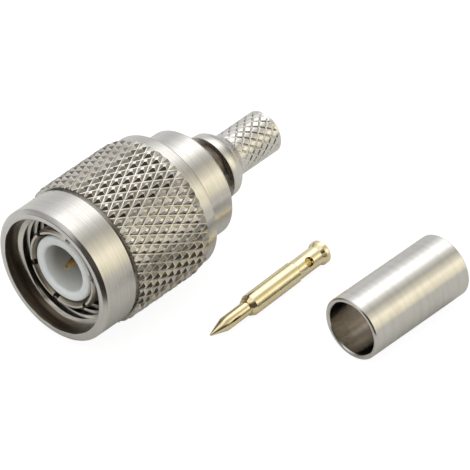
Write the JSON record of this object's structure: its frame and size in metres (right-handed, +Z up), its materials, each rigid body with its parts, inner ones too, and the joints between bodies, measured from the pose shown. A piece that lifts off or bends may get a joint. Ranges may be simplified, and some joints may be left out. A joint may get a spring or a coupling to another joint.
{
  "type": "threaded coaxial cable plug",
  "caption": "Straight threaded coaxial plug with a knurled coupling nut, laid out with its loose contact pin and its crimp ferrule.",
  "frame": {"origin": "on the plug's axis, in the plane of the stop collar on which the mating socket's rim lands", "axes": "+X along the plug's axis towards the cable end, +Z up, with the plug, the loose pin and the ferrule lying on one table"},
  "size_m": [0.029, 0.0322, 0.0144],
  "materials": {
    "nickel": "turned brass with satin nickel plate",
    "spring_nickel": "nickel-plated copper alloy",
    "gold": "gold-plated brass, polished",
    "white_plastic": "white, slightly clear fluoropolymer",
    "seal_rubber": "silicone rubber"
  },
  "bodies": {
    "plug": {"connector_body": "nickel", "spring_fingers": "spring_nickel", "gasket": "seal_rubber", "insulator": "white_plastic", "centre_contact": "gold", "crimp_stem": "nickel", "crimp_ferrule": "nickel", "contact_pin": "gold"},
    "ring_carrier": {"retaining_ring": "spring_nickel"},
    "nut": {"coupling_nut": "nickel"}
  },
  "joints": [
    {"name": "nut_play", "type": "slide", "parent": "plug", "child": "ring_carrier", "axis": [1, 0, 0], "range_m": [-0.00015, 0.00015]},
    {"name": "nut_turn", "type": "hinge", "parent": "ring_carrier", "child": "nut", "pos_m": [0.00525, 0, 0], "axis": [1, 0, 0], "continuous": true}
  ]
}
